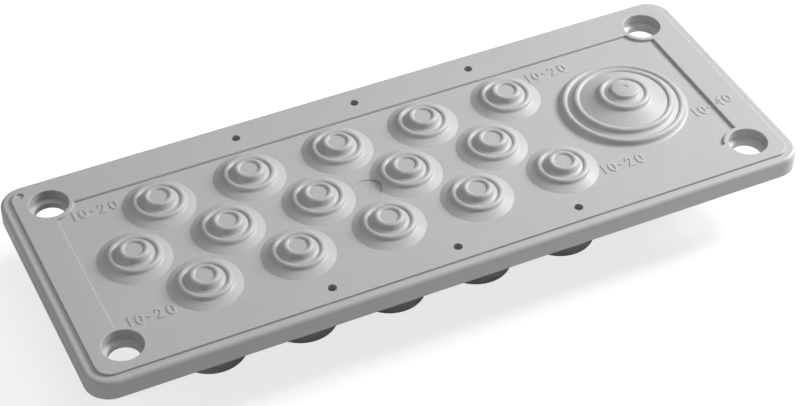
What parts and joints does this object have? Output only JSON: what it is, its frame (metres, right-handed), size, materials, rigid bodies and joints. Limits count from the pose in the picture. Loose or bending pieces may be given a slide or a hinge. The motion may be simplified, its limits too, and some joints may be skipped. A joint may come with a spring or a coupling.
{
  "type": "cable entry plate",
  "caption": "Rectangular cable entry plate moulded with rows of stepped membranes over open sleeves, a large membrane near an end and recessed screw holes in its corners.",
  "frame": {"origin": "middle of the four screw holes, on the plate's underside; the sealing rim and the sleeves reach below it", "axes": "+X along the plate towards the large entry, +Z out of the cabinet, through the membranes"},
  "size_m": [0.249, 0.096, 0.0359],
  "materials": {
    "moulding": "light grey moulded plastic, matt and slightly soft"
  },
  "bodies": {
    "root": {"entry_plate": "moulding"}
  },
  "joints": []
}
